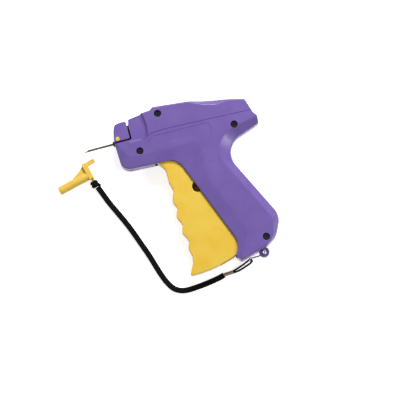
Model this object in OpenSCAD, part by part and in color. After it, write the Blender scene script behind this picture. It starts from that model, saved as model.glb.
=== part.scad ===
// Garment tag attacher: a pistol-grip tool that pushes a plastic fastener through a slotted needle.
// It lies on its right side: +Z is the tool's left, -X the muzzle and +Y the tool's top.

/* [Casing] */
// Thickness of the closed casing
casing_t = 25; // [23:0.5:28]
// Thickness of the moulded walls
wall = 2.2; // [1.8:0.1:2.4]
// Depth of the flat recess that carries the feed slit
pad_depth = 2.4; // [1.5:0.1:3]
// Depth of the panel line and the label panel
line_depth = 0.4; // [0.2:0.1:0.6]
// Clearance between parts that move past each other
run_gap = 0.3; // [0.25:0.05:0.4]
// Clearance of a pin that turns in its hole, on the radius
pin_gap = 0.05; // [0.03:0.01:0.08]

/* [Screws] */
// Diameter of the screw recesses
recess_d = 6.3; // [6:0.1:7]
// Depth of the screw recesses below the casing's face
recess_depth = 7.5; // [5:0.5:9]
// Diameter of the screw heads
head_d = 5.6; // [5:0.1:5.8]
// Thickness of the screw heads
head_h = 1.9; // [1.5:0.1:2.4]
// Diameter of the screws
screw_d = 2.9; // [2.5:0.1:3.2]
// Length of the screws under the head
screw_l = 12; // [9:0.5:13]
// Outer diameter of the screw bosses
boss_d = 8.8; // [8.4:0.1:9]

/* [Needle] */
// Outer diameter of the needle
needle_d = 1.9; // [1.7:0.1:2]
// Bore of the needle
needle_bore = 1.36; // [1.3:0.02:1.4]
// Width of the needle's slot
needle_slot = 0.5; // [0.4:0.05:0.6]
// Length that the needle stands out of its base
needle_out = 26.6; // [20:0.2:30]
// Length of the needle's base
base_l = 9.5; // [8:0.5:9.5]
// Length of the base that stands out of the nose
base_out = 1.3; // [0.5:0.1:2]
// Length of a fastener's cross bar
bar_l = 10; // [8:0.5:10]
// Diameter of a fastener's cross bar
bar_d = 1; // [0.8:0.1:1.1]
// Diameter of the needle lock's shaft
lock_d = 3; // [2.6:0.1:3.1]
// Diameter of the needle lock's visible end
lock_dot_d = 3.6; // [3.3:0.1:3.8]

/* [Drive] */
// Swing of the trigger
trigger_swing = 16; // [12:0.5:17]
// Travel of the slider and its rod
stroke = 46; // [42:0.5:47]
// Length of the drive lever's upper arm
arm_r = 50; // [48:0.5:51]
// Thickness of the drive lever
lever_t = 3.5; // [3:0.1:4]
// Width of the trigger
trigger_w = 16; // [15:0.2:16.2]
// Thickness of the trigger's side walls
trigger_wall = 2; // [1.6:0.1:2.4]
// Diameter of the pivot pins
pivot_d = 4; // [3:0.1:4.4]
// Diameter of the rollers
roller_d = 6.4; // [6:0.1:6.8]
// Play of pin or roller in its slot, each side
slot_play = 0.5; // [0.45:0.05:0.6]
// Diameter of the pusher rod
rod_d = 1.2; // [1.1:0.02:1.24]
// Length of the slider
slider_l = 26; // [25:0.5:28]
// Diameter of the return spring's wire
wire_d = 1.1; // [0.8:0.1:1.2]
// Turns of the return spring
spring_turns = 4; // [3:1:5]

/* [Feed] */
// Teeth of the feed wheel
feed_teeth = 12; // [10:1:14]
// Outer diameter of the feed wheel
feed_d = 9.2; // [8.6:0.1:9.4]
// Diameter of the feed wheel's axle
axle_d = 2.4; // [2:0.1:2.8]

/* [Lanyard] */
// Width of the strap
strap_w = 5; // [4:0.5:6]
// Thickness of the strap
strap_t = 1.8; // [1.4:0.1:2.2]
// Diameter of the wire hook's wire
hook_d = 1.3; // [1:0.1:1.4]
// Diameter of the thin cord
thread_d = 1.6; // [1.2:0.1:1.7]
// Diameter of the crimp ferrule
ferrule_d = 3.4; // [3.2:0.1:4]
// Diameter of the lug at the end of the grip
lug_d = 9; // [8:0.5:10]
// Diameter of the lug's hole
lug_hole_d = 3.2; // [2.8:0.1:3.6]

/* [Needle cap] */
// Diameter of the cap's barrel
cap_d = 7.7; // [7:0.1:8]
// Length of the cap's barrel
cap_l = 28; // [24:0.5:30]
// Bore of the cap
cap_bore_d = 2.6; // [2.4:0.1:3.2]
// Thickness of the cap's flange
flange_t = 4.4; // [3.4:0.1:5]
// Height of the flange above the barrel's axis
flange_up = 11; // [10:0.5:12]

/* [Hidden] */
$fn = 48;
purple = "#7d68ae";
yellow = "#f4cb48";
steel = "#a9a49c";
black = "#1b1819";

// Heights: the parting plane lies in the middle of the casing.
zc = casing_t / 2;
face_in = casing_t - wall;
trigger_z = trigger_w / 2 + run_gap;
eps = 0.01;

// Places of the two pivots, and the line along which needle, rod and slider lie.
pivot = [-6, 6];
needle_y = 25.3;
roller_top = needle_y + 2.2;
fulcrum = [26, roller_top - arm_r];
slit_x = -28.8;
slit_w = 1.4;
slit_low = 23.9;
slit_high = 25.5;
nose_x = -43.8;

// Needle and rod along X.
bar_x0 = slit_x - bar_l / 2;
bar_x1 = slit_x + bar_l / 2;
base_x0 = nose_x - base_out;
base_x1 = base_x0 + base_l;
needle_tip = base_x0 - needle_out;
rod_tip = bar_x1 + 0.4;
bar_z = bar_d / 2 + 0.3;
base_low = 2.1;
base_high = 1.9;
base_half = 2.2;
shank_d = needle_d + 0.3;
bevel_l = 4.6;
slot_turn = 28;
lock_at = [-40, needle_y + needle_d / 2 + 0.15 + lock_d / 2];

// Drive: the trigger's cross pin swings the lower arm, the upper arm shifts the slider.
pivots_gap = norm(fulcrum - pivot);
pivots_dir = atan2(fulcrum[1] - pivot[1], fulcrum[0] - pivot[0]);
arm_half = asin(stroke / 2 / arm_r);
swing_half = trigger_swing / 2;
drive_r = pivots_gap * tan(arm_half) / (tan(arm_half) * cos(swing_half) - sin(swing_half));
drive_at = pivot + drive_r * [cos(pivots_dir - swing_half), sin(pivots_dir - swing_half)];
low_arm_min = drive_r - pivots_gap;
low_arm_max = norm(drive_at - fulcrum);
slot_x = fulcrum[0] + stroke / 2;
roller_low = fulcrum[1] + arm_r * cos(arm_half);
drive_pin_d = pivot_d;
roller_pin_d = 3;
lever_hub_d = 14;
lever_hub_t = lever_t + 0.9;
lever_end_d = 8;
trigger_arc = 110.4;
notch_half = 5;
post_d = 8.4;
slider_half_w = 7;
slider_low = roller_low - roller_d / 2;
slider_high = needle_y + 7.5;
cheek_in = lever_hub_t / 2 + run_gap;
rail_t = 1.5;
rail_x0 = -11;
rail_x1 = 66;
rail_in = 3.1;
bumper_t = 2.2;

// Feed train in the nose, its axle along X.
feed_y = needle_y + 5;
feed_z = zc - bar_z - feed_d / 2 + 0.4;
ratchet_d = feed_d - 1;
ratchet_t = 2;
pawl_y = feed_y + 8.1;
pawl_z = feed_z - 1.4;
pawl_pin_d = 1.8;

// Screws: one row for each, its place on the face.
screw_at = [[-0.7, 40.2], [-24, 12.2], [61.5, 13.8], [63, -88.5]];
head_z = casing_t - recess_depth;

// Corners of the casing. Each row: side wall x, y, radius; face edge x, y, radius; drop; arc steps.
CASE = [
    [-42.8, -0.6, 8.4, -33.4, 8.8, 8.4, 2, 6],
    [-14.3, -1.8, 20, -14, 8, 20, 2, 1],
    [5.3, -1.7, 15, 26.8, 8, 4, 2, 8],
    [9.9, -13.5, 2, 28, -6, 8, 2, 2],
    [16.9, -31.4, 2, 26.8, -25, 8, 2, 2],
    [38.7, -87.1, 16, 49.6, -80.5, 12, 2, 6],
    [33.4, -97.6, 0.6, 39.6, -96.4, 1.5, 2, 1],
    [37.2, -103, 1, 39.1, -101.5, 0.8, 1.2, 1],
    [60.6, -96.9, 2, 60.3, -95.4, 2, 1.2, 2],
    [71.5, -90.3, 14, 69.6, -90.2, 9, 4.5, 6],
    [79.8, -73.5, 16, 73, -74, 12, 5, 6],
    [45.1, -2.8, 17.2, 33.5, 5.9, 20.3, 5, 10],
    [82.8, 9.8, 1.6, 82, 15.9, 0.6, 5, 2],
    [83.1, 16.2, 1.4, 81.9, 17, 0.5, 1, 2],
    [80.2, 20.2, 1.2, 79.4, 20.6, 1, 1, 2],
    [76.1, 33.4, 2.4, 75.2, 32.6, 1.8, 1, 4],
    [62, 36.7, 20, 62.5, 35.7, 3, 1, 2],
    [50, 39.2, 20, 51, 34.8, 10, 3.6, 3],
    [39, 41.3, 20, 40, 37.6, 10, 3.2, 3],
    [28, 43.8, 20, 28, 43, 3, 1, 2],
    [-3.9, 47, 1.4, -3.6, 46.1, 1.2, 1, 2],
    [-6.4, 44.9, 1.5, -6.7, 44, 1.2, 1, 2],
    [-14.4, 44.3, 1, -14.6, 43.4, 0.8, 1, 1],
    [-16, 43.3, 1, -16.2, 42.4, 0.8, 1, 1],
    [-27.4, 41.7, 1.6, -26.5, 40.8, 1.2, 1, 3],
    [-27.5, 38.4, 0.3, -26.6, 37.6, 0.1, 1, 1],
    [-29.6, 38.4, 0.3, -30.4, 37.6, 0.1, 1, 1],
    [-29.7, 41.2, 1.2, -30.5, 40.3, 1, 1, 3],
    [-41.1, 40.4, 4.3, -40.3, 39.5, 3.5, 1, 5],
    [-43.9, 25, 1, -42.9, 25, 1, 1.2, 1],
    [-43.6, 20, 2, -41, 20, 4, 2, 1]];

// Corners of the recess behind the slit. Each row: floor x, y, radius; face x, y, radius; steps.
PAD = [
    [-31, 23.3, 0.3, -31, 20.8, 0.3, 1],
    [-17.9, 23.3, 5, -13.4, 19.6, 7.5, 6],
    [-17.3, 34, 20, -12.3, 33, 20, 3],
    [-18.6, 50, 0.3, -14.3, 50, 0.3, 1],
    [-31, 50, 0.3, -31, 50, 0.3, 1]];

// Outline of the solid nose inside the casing's walls.
NOSE = [[-42.6, 18.6], [-19.6, 18.6], [-19.6, 41.7], [-26.4, 40.7], [-26.4, 37.3], [-30.7, 37.3],
    [-30.7, 40], [-38.6, 39.4], [-40.8, 36]];

// Corners of the trigger: x, y, radius, arc steps.
TRIGGER = [
    [-9.7, -103.4, 1, 3], [-8, -106, 0.3, 1], [33, -106, 0.3, 1], [38.4, -96, 2, 2],
    [41.2, -86, 10, 3], [drive_at[0] - 4.2, drive_at[1] - 13.2, 5, 3],
    [drive_at[0] + 4.8, drive_at[1] - 6.7, 4, 3], [drive_at[0] + 5, drive_at[1] + 3.9, 4, 3],
    [17.5, -25, 1.5, 2], [11, -9, 8, 2], [2.5, 2.5, 3, 2], [1.2, 13.2, 7, 5],
    [-13.2, 13.2, 7, 5], [-13.3, 0.6, 2, 2], [-6.2, -8, 10, 4], [-6.6, -20, 6, 2],
    [-4.4, -28.5, 6, 3], [-8, -37.3, 4.5, 3], [-4.9, -44, 4.5, 3], [-8.2, -51, 4.5, 3],
    [-4.4, -58.8, 4.5, 3], [-6.8, -65.8, 4.5, 3], [-2.6, -74.2, 5, 3], [-5, -80.6, 5, 3],
    [-3.4, -88, 6, 3], [-4.4, -94, 5, 3]];

// Hollow of the trigger, open to the rear.
HOLLOW = [[-0.4, -101.6], [70, -101.6], [70, 30], [-30, 30], [-30, -0.5], [-9.3, -0.5],
    [-5, -5], [-3.4, -12], [-3.4, -55], [-0.4, -72]];

// Middle line of the strap, from the ferrule to the knot.
STRAP = [
    [19.4, -109.8, 1.7], [15, -111.1, 1.6], [8, -112.3, 1.4], [0, -113.4, 1.2], [-8, -114.1, 1.2],
    [-14.5, -114.3, 1.3], [-20.5, -113.3, 1.4], [-26, -110, 1.5], [-29.8, -104.6, 1.5],
    [-33, -97.4, 1.4], [-36.2, -87.5, 1.4], [-39.6, -76.2, 1.6], [-43.8, -64.5, 2],
    [-47.8, -53.4, 2.3], [-52, -43, 1.9], [-56.9, -32.4, 1.5], [-61.8, -21.8, 1.4],
    [-65.5, -12.2, 1.9], [-67.8, -6.4, 3.2]];

// Middle line of the doubled thread, from the ferrule round the hook and back.
LOOP = [
    [27.8, -108.7, 1.9], [31, -107.8, 2.5], [34.5, -106.7, 3.4], [38, -105.5, 4.3],
    [41.5, -104.1, 5.1], [44.2, -103, 5.7], [45.9, -103.6, 6], [45.8, -105, 5.7],
    [43.5, -106.3, 5], [40, -107.5, 4.1], [36, -108.8, 3.2], [32, -109.7, 2.4], [27.8, -110.1, 1.9]];

// Middle line of the wire hook, from above the lug through its hole to the thread.
HOOK = [
    [58.8, -98.2, 17.9], [58.6, -99.3, 18.1], [58.4, -100.6, 17.2], [58.4, -100.6, 14.5],
    [58.4, -100.6, 10.5], [58.2, -100.9, 8.1], [57, -101.6, 6.9], [54, -102, 6.8],
    [50.5, -102.2, 6.9], [47.5, -102.2, 7.1], [45, -102.1, 7.8], [44.1, -103.4, 8.2],
    [44.5, -104.6, 7.6]];

function unit(v) = v / norm(v);
function left_of(v) = [-v[1], v[0]];
function xy(p) = [p[0], p[1]];
function limit(v, low, high) = min(high, max(low, v));
function before(p, i) = xy(p[(i + len(p) - 1) % len(p)]);
function after(p, i) = xy(p[(i + 1) % len(p)]);
function turn(p, i) = cross(xy(p[i]) - before(p, i), after(p, i) - xy(p[i]));

// Corner i of an outline, moved inwards by w.
function inset_corner(p, i, w) = let (
    a = left_of(unit(xy(p[i]) - before(p, i))),
    b = left_of(unit(after(p, i) - xy(p[i]))))
    xy(p[i]) + w * (a + b) / (1 + a * b);
function inset(p, w) = [for (i = [0 : len(p) - 1])
    concat(inset_corner(p, i, w), [max(1, p[i][2] - w * sign(turn(p, i))), p[i][3]])];

// Arc of a rounded corner, from rows of x, y, radius and steps.
function corner_arc(p, i) = let (
    b = xy(p[i]), u = unit(before(p, i) - b), v = unit(after(p, i) - b),
    half = acos(limit(u * v, -1, 1)) / 2, r = p[i][2], n = p[i][3])
    half > 89 ? [for (k = [0 : n]) b + v * (k / n - 0.5) * 0.8] : let (
    start = b + u * r / tan(half),
    mid = b + unit(u + v) * r / sin(half),
    side = sign(turn(p, i)),
    first = atan2(start[1] - mid[1], start[0] - mid[0]))
    [for (k = [0 : n]) let (a = first + side * (180 - 2 * half) * k / n) mid + r * [cos(a), sin(a)]];
function rounded(p) = [for (i = [0 : len(p) - 1]) each corner_arc(p, i)];

function wall_rows() = [for (c = CASE) [c[0], c[1], c[2], c[7]]];
function face_rows() = [for (c = CASE) [c[3], c[4], c[5], c[7]]];
function at_height(ring, z) = [for (p = ring) [p[0], p[1], z]];

// Closed skin through rings of equal length, the first ring lowest.
module skin(rings) {
    n = len(rings[0]);
    last = len(rings) - 1;
    sides = [for (j = [0 : last - 1]) for (k = [0 : n - 1]) let (m = (k + 1) % n)
        each [[j * n + k, (j + 1) * n + k, (j + 1) * n + m], [j * n + k, (j + 1) * n + m, j * n + m]]];
    low = [for (k = [0 : n - 1]) k];
    high = [for (k = [n - 1 : -1 : 0]) last * n + k];
    polyhedron([for (r = rings) each r], concat([low, high], sides));
}

// The origin of the whole part is the middle of the long flat side that it lies on.
module placed() {
    translate([0, -10, 0]) children();
}

module prism(points, z0, z1) {
    translate([0, 0, z0]) linear_extrude(z1 - z0) polygon(points);
}

module rod(at, d, z0, z1) {
    translate([at[0], at[1], z0]) cylinder(d = d, h = z1 - z0);
}

module block(low, high) {
    translate(low) cube(high - low);
}

// Moulded post with draft: its diameter at the free end, and the heights of free end and root.
module post(at, d, free, root) {
    side = sign(root - free);
    hull() {
        translate([at[0], at[1], min(free, free + side * 0.5)]) cylinder(d = d, h = 0.5);
        translate([at[0], at[1], min(root, root - side * 0.5)]) cylinder(d = d + 0.4, h = 0.5);
    }
}

// Moulded rib with draft at its ends, the root at the top.
module rib(low, high) {
    hull() {
        block(low, [high[0], high[1], low[2] + 0.5]);
        block([low[0] - 0.4, low[1], high[2] - 0.5], [high[0] + 0.4, high[1], high[2]]);
    }
}

// Rod along X from x0 to x1.
module rod_x(x0, x1, y, z, d) {
    translate([x0, y, z]) rotate([0, 90, 0]) cylinder(d = d, h = x1 - x0);
}

// The other half of the casing: the same shape on the far side of the parting plane.
module far_side() {
    translate([0, 0, casing_t]) mirror([0, 0, 1]) children();
}

// Half of the casing's outer skin, grown inwards by w for the hollow inside it.
module half_skin(w = 0, z0 = zc) {
    side = rounded(inset(wall_rows(), w));
    face = rounded(inset(face_rows(), w * 0.6));
    drops = [for (c = CASE) for (k = [0 : c[7]]) c[6]];
    edge = [for (i = [0 : len(side) - 1]) [side[i][0], side[i][1], casing_t - w - drops[i]]];
    skin([at_height(side, z0), edge, at_height(face, casing_t - w)]);
}

// Opening along the front of the grip, through which the trigger swings.
module trigger_opening() {
    intersection() {
        prism([[-13.9, 3], [4, 3], [14, -12], [43.5, -84], [40, -99], [30, -106], [-30, -60],
            [-13.9, -10]], zc - 1.5, zc + trigger_z);
        rod(pivot, 2 * (trigger_arc + 2.4), 0, casing_t);
    }
}

// Panel line along the side, and the bare label panel under it.
module face_lines() {
    line = [[-15.5, 22], [-13, 23.5], [-10, 24.7], [0, 25.3], [20, 24.7], [40, 23.8], [78.5, 22.4]];
    up = [for (p = line) p + [0, 0.3]];
    down = [for (i = [len(line) - 1 : -1 : 0]) line[i] - [0, 0.3]];
    prism(concat(down, up), casing_t - line_depth, casing_t + 1);
    prism(rounded([[-9, 12.6, 1, 2], [39.4, 12.6, 1.5, 2], [41.8, 16.6, 3, 3], [39.6, 21.4, 2, 3],
        [-9, 22, 1, 2]]), casing_t - line_depth, casing_t + 1);
}

// Half of the casing with what both halves share.
module half_shell(post_in) {
    difference() {
        union() {
            difference() {
                half_skin();
                half_skin(wall, zc - 1);
                trigger_opening();
            }
            // Rails above and below the slider, and runners beside it
            for (y = [slider_low - run_gap - rail_t, slider_high + run_gap])
                rib([rail_x0, y, zc + rail_in], [rail_x1, y + rail_t, face_in + 0.4]);
            for (y = [slider_low + 2, slider_high - 4])
                rib([rail_x0, y, zc + slider_half_w + run_gap], [rail_x1 - 4, y + rail_t, face_in + 0.4]);
            // The bumper's wall
            block([slot_x + slider_l / 2 + run_gap + bumper_t, slider_low, zc],
                [slot_x + slider_l / 2 + run_gap + bumper_t + 2, slider_high, face_in + wall / 2]);
            // Lug for the lanyard, and the solid nose round the needle and the feed train
            rod([58.1, -100.5], lug_d, zc, zc + 3);
            prism(NOSE, zc, face_in + 0.4);
            // Rib that joins the front screw's boss to the underside
            rib([screw_at[1][0] - 1, 0.4, zc], [screw_at[1][0] + 1, screw_at[1][1], face_in + 0.1]);
        }
        rod(pivot, pivot_d + 0.04, zc, zc + post_in);
        rod([58.4, -100.6], lug_hole_d, zc - 1, zc + 4);
        face_lines();
        // Slot in the underside, where the spent fastener bar drops out
        block([-37, -4, zc - 1], [-28, 3.5, zc + 1.5]);
    }
}

// Seats in the nose that both halves cut: needle base, bar channel and guide.
module nose_seats() {
    block([nose_x - 3, needle_y - base_low, zc - base_half],
        [base_x1 + 0.05, needle_y + base_high, zc + base_half]);
    block([bar_x0, needle_y - needle_d / 2, zc - bar_z], [bar_x1, 50, zc + bar_z]);
    block([base_x1 - 1, needle_y - 0.9, zc - 0.9], [guide_x1, needle_y + 0.9, zc + 0.9]);
    block([guide_x0, guide_y0, zc - guide_half], [guide_x1, guide_y1, zc + guide_half]);
}

guide_x0 = -21;
guide_x1 = -13.5;
guide_y0 = needle_y - 3;
guide_y1 = needle_y + 3;
guide_half = 3;

// Everything of the left half above and in front of the feed slit.
module nose_cut(low_y, right_x) {
    prism([[-60, low_y], [-31.3, low_y], [right_x - 0.6, low_y + 0.6], [right_x, low_y + 1.6],
        [right_x, 60], [-60, 60]], zc - 1, casing_t + 1);
}

module pad_recess() {
    floor_ring = rounded([for (p = PAD) [p[0], p[1], p[2], p[6]]]);
    face_ring = rounded([for (p = PAD) [p[3], p[4], p[5], p[6]]]);
    mid_ring = floor_ring + (face_ring - floor_ring) * 0.7;
    skin([at_height(floor_ring, casing_t - pad_depth), at_height(mid_ring, casing_t - pad_depth * 0.6),
        at_height(face_ring, casing_t + 0.5)]);
}

module left_shell() {
    color(purple) placed() difference() {
        union() {
            difference() {
                union() {
                    half_shell(post_in = pivot_in());
                    // Wall under the rear of the recess
                    block([-21, 20.9, face_in - 3], [-14.5, 41, face_in + 0.4]);
                }
                pad_recess();
            }
            for (s = screw_at) post(s, boss_d, zc, face_in + wall / 2);
            // Post that carries the lever's pin
            post(fulcrum, post_d, zc + lever_hub_t / 2 + run_gap, face_in + wall / 2);
        }
        rod(fulcrum, pivot_d + 0.04, zc, zc + pivot_in());
        nose_cut(slit_low, slit_x + slit_w / 2);
        nose_seats();
        for (s = screw_at) {
            rod(s, screw_d + 0.4, zc - 1, casing_t);
            rod(s, recess_d, head_z, casing_t + 1);
        }
    }
}

function pivot_in() = zc - 2.6;

module right_shell() {
    color(purple) placed() difference() {
        union() {
            far_side() half_shell(post_in = pivot_in());
            for (s = screw_at) post(s, boss_d - 1.4, zc, wall / 2);
            // Peg that the return spring's fixed leg rests on
            post(pivot + spring_peg_off(), 3, zc - spring_half() + 1.4, wall / 2);
        }
        nose_seats();
        for (s = screw_at) rod(s, screw_d + 0.06, head_z - screw_l - 0.5, zc + 1);
        // Pocket of the feed wheel, its ratchet and its pawl
        block([bar_x0 - 0.2, feed_y - feed_d / 2 - 0.4, feed_z - feed_d / 2 - 0.4],
            [bar_x1 + 0.2, feed_y + feed_d / 2 + 0.5, zc + 1]);
        block([bar_x1 - eps, feed_y - ratchet_d / 2 - 0.4, feed_z - feed_d / 2 - 0.4],
            [bar_x1 + ratchet_t + 0.5, pawl_y + 1.8, zc + 1]);
        rod_x(bar_x0 - 2.2, -19, feed_y, feed_z, axle_d + 0.04);
        rod_x(bar_x1 - 1, bar_x1 + ratchet_t + 2, pawl_y, pawl_z, pawl_pin_d + 0.04);
        lock_space(pin_gap, 0);
        for (p = peg_at) rod(p, peg_d + 0.06, zc - peg_l - 0.2, zc + 1);
    }
}

peg_at = [[-38.2, 36.6], [-36, 31.4]];
peg_d = 2.4;
peg_l = 2.6;
nose_top = casing_t - pad_depth;

// Space of the needle lock, grown by a gap.
module lock_space(gap, down) {
    rod(lock_at, lock_d + 2 * gap, 0.3 + down, nose_top + 1);
    rod(lock_at, lock_dot_d + 2 * gap, nose_top - 2.5, nose_top + 2);
    rod(lock_at, 5.4 + 2 * gap, -1, 3 + gap);
}

module nose_block() {
    color(purple) placed() {
        difference() {
            translate([0, 0, zc]) linear_extrude(nose_top - zc) intersection() {
                polygon(rounded(wall_rows()));
                translate([-60, slit_high]) square([60 + slit_x - slit_w / 2, 40]);
            }
            nose_seats();
            lock_space(pin_gap, 0);
        }
        for (p = peg_at) rod(p, peg_d, zc - peg_l, zc + 0.5);
    }
}

// Slot along needle and base, for the fastener's thread.
module thread_slot() {
    translate([0, needle_y, zc]) rotate([-slot_turn, 0, 0])
        block([needle_tip - 1, -needle_slot / 2, 0], [base_x1 + 1, needle_slot / 2, 5]);
}

module needle() {
    color(steel) placed() difference() {
        union() {
            rod_x(needle_tip, base_x1, needle_y, zc, needle_d);
            rod_x(base_x0, base_x1, needle_y, zc, shank_d);
        }
        rod_x(needle_tip - 1, base_x1 + 1, needle_y, zc, needle_bore);
        thread_slot();
        // Bevelled point, its tip below
        prism([[needle_tip - 1, needle_y - needle_d / 2 - 0.3], [needle_tip, needle_y - needle_d / 2],
            [needle_tip + bevel_l, needle_y + needle_d / 2], [needle_tip + bevel_l, needle_y + 3],
            [needle_tip - 1, needle_y + 3]], zc - 3, zc + 3);
    }
}

module needle_base() {
    color(black) placed() difference() {
        block([base_x0, needle_y - base_low + 0.05, zc - base_half + 0.05],
            [base_x1, needle_y + base_high - 0.05, zc + base_half - 0.05]);
        rod_x(base_x0 - 1, base_x1 + 1, needle_y, zc, shank_d);
        thread_slot();
        rod(lock_at, lock_d + 2 * pin_gap, 0, casing_t);
    }
}

module needle_lock() {
    color(yellow) placed() difference() {
        union() {
            rod(lock_at, lock_d, 1, nose_top);
            rod(lock_at, lock_dot_d, nose_top - 2.4, nose_top + 0.3);
            rod(lock_at, 5.4, 0.4, 3);
        }
        // Flats that let the needle's base slide out after a quarter turn
        for (s = [-1, 1]) translate([lock_at[0] + s * (lock_d / 2 + 0.6), lock_at[1], zc])
            cube([2, lock_d, 2 * base_half + 0.6], center = true);
        // Screwdriver slot
        translate([lock_at[0], lock_at[1], 0.4]) cube([6, 0.9, 2], center = true);
    }
}

module casing_screws() {
    color(steel) placed() for (s = screw_at) difference() {
        union() {
            rod(s, head_d, head_z, head_z + head_h);
            rod(s, screw_d, head_z - screw_l, head_z + eps);
        }
        for (a = [0, 90]) translate([s[0], s[1], head_z + head_h]) rotate(a)
            cube([3.2, 0.7, 2], center = true);
    }
}

module trigger() {
    slot_end = pivot + pivots_gap * [cos(pivots_dir - trigger_swing), sin(pivots_dir - trigger_swing)];
    color(yellow) placed() difference() {
        intersection() {
            prism(rounded(TRIGGER), zc - trigger_w / 2, zc + trigger_w / 2);
            rod(pivot, 2 * trigger_arc, 0, casing_t, $fn = 180);
        }
        prism(HOLLOW, zc - trigger_w / 2 + trigger_wall, zc + trigger_w / 2 - trigger_wall);
        // Curved slot in the near wall, which clears the lever's post
        rod(slot_end, 2 * notch_half, zc, casing_t);
        intersection() {
            difference() {
                rod(pivot, 2 * (pivots_gap + notch_half), zc, casing_t, $fn = 120);
                rod(pivot, 2 * (pivots_gap - notch_half), zc - 1, casing_t + 1, $fn = 120);
            }
            prism([pivot, pivot + 70 * [cos(pivots_dir - trigger_swing), sin(pivots_dir - trigger_swing)],
                pivot + 70 * [cos(pivots_dir + 10), sin(pivots_dir + 10)]], 0, casing_t);
        }
        rod(pivot, pivot_d + 2 * pin_gap, 0, casing_t);
        rod(drive_at, drive_pin_d, 0, casing_t);
    }
}

module trigger_pin() {
    color(steel) placed() rod(pivot, pivot_d, zc - pivot_in() + 0.1, zc + pivot_in() - 0.1);
}

// Headed pin, pressed into the near half's post.
module lever_pin() {
    low = zc - lever_hub_t / 2 - run_gap;
    color(steel) placed() {
        rod(fulcrum, pivot_d, low - 0.5, zc + pivot_in() - 0.1);
        rod(fulcrum, pivot_d + 2.4, low - 1, low);
    }
}

module drive_pin() {
    color(steel) placed() rod(drive_at, drive_pin_d, zc - trigger_w / 2 + 0.2, zc + trigger_w / 2 - 0.2);
}

function spring_half() = trigger_w / 2 - trigger_wall - wire_d / 2 - run_gap - 1.6;
function spring_r() = pivot_d / 2 + wire_d / 2 + 0.85;
function spring_peg_off() = [-11, spring_r() - wire_d / 2 - 1.8];

// Closed tube along points, with sides kept level where the path is level.
module tube(points, d, sides) {
    sweep(points, [for (k = [0 : sides - 1]) let (a = 360 * (k + 0.5) / sides) d / 2 * [cos(a), sin(a)]]);
}

// Section, given as [across, up], swept along points.
module sweep(points, section) {
    last = len(points) - 1;
    rings = [for (i = [0 : last]) let (
        t = unit(points[min(last, i + 1)] - points[max(0, i - 1)]),
        side = abs(t[2]) > 0.95 ? unit(cross([0, 1, 0], t)) : unit(cross([0, 0, 1], t)),
        up = cross(t, side))
        [for (s = section) points[i] + s[0] * side + s[1] * up]];
    skin_tube(rings);
}

module skin_tube(rings) {
    n = len(rings[0]);
    last = len(rings) - 1;
    sides = [for (j = [0 : last - 1]) for (k = [0 : n - 1]) let (m = (k + 1) % n)
        each [[j * n + k, j * n + m, (j + 1) * n + m], [j * n + k, (j + 1) * n + m, (j + 1) * n + k]]];
    low = [for (k = [n - 1 : -1 : 0]) k];
    high = [for (k = [0 : n - 1]) last * n + k];
    faces = concat([low, high], sides);
    polyhedron([for (r = rings) each r], [for (f = faces) [for (i = [len(f) - 1 : -1 : 0]) f[i]]]);
}

module return_spring() {
    r = spring_r();
    z0 = zc - spring_half();
    steps = 16;
    count = spring_turns * steps + steps / 4;
    rise = 2 * spring_half() / count;
    coil = [for (k = [0 : count]) let (a = 90 - 360 * k / steps)
        [pivot[0] + r * cos(a), pivot[1] + r * sin(a), z0 + rise * k]];
    legs = concat([[pivot[0] - 11.6, pivot[1] + r, z0], [pivot[0] - 2, pivot[1] + r, z0]], coil,
        [[pivot[0] + r, pivot[1] - 2, zc + spring_half()],
        [pivot[0] + r, pivot[1] - 22, zc + spring_half()]]);
    color(steel) placed() tube(legs, wire_d, 6);
}

// Slot in the lever's lower arm for the trigger's cross pin, measured from the fulcrum.
module drive_lever() {
    r_pin = drive_pin_d / 2 + slot_play - 0.1;
    arm_end = low_arm_max + r_pin + 3.2;
    color("#8d8f93") placed() translate([fulcrum[0], fulcrum[1], zc]) rotate(-arm_half) difference() {
        union() {
            cylinder(d = lever_hub_d, h = lever_hub_t, center = true);
            linear_extrude(lever_t, center = true) union() {
                circle(d = lever_hub_d);
                polygon([[-lever_hub_d / 2 + 0.3, 1.5], [lever_hub_d / 2 - 0.3, 1.5],
                    [lever_end_d / 2, arm_r], [-lever_end_d / 2, arm_r]]);
                translate([0, arm_r]) circle(d = lever_end_d);
                rotate(pivots_dir) polygon([[0, -6.5], [arm_end - 2, -5.4], [arm_end, -3.4],
                    [arm_end, 3.4], [arm_end - 2, 5.4], [0, 6.5]]);
            }
        }
        cylinder(d = pivot_d + 2 * pin_gap, h = 20, center = true);
        translate([0, arm_r, 0]) cylinder(d = roller_pin_d, h = 20, center = true);
        rotate(pivots_dir) linear_extrude(20, center = true) union() {
            translate([low_arm_min - 0.3, 0]) circle(r = r_pin);
            translate([low_arm_max + 0.3, 0]) circle(r = r_pin);
            translate([low_arm_min - 0.3, -r_pin]) square([low_arm_max - low_arm_min + 0.6, 2 * r_pin]);
        }
    }
}

roller_at = [slot_x, roller_low];
roller_in = cheek_in + 0.2;
roller_out = slider_half_w - 0.2;

module roller_pin() {
    color(steel) placed() rod(roller_at, roller_pin_d, zc - roller_out - 0.2, zc + roller_out + 0.2);
}

module drive_rollers() {
    color("#d8d4c8") placed() for (s = [-1, 1])
        translate([roller_at[0], roller_at[1], zc + s * (roller_in + roller_out) / 2]) difference() {
            cylinder(d = roller_d, h = roller_out - roller_in, center = true);
            cylinder(d = roller_pin_d + 0.04, h = 20, center = true);
        }
}

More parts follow.
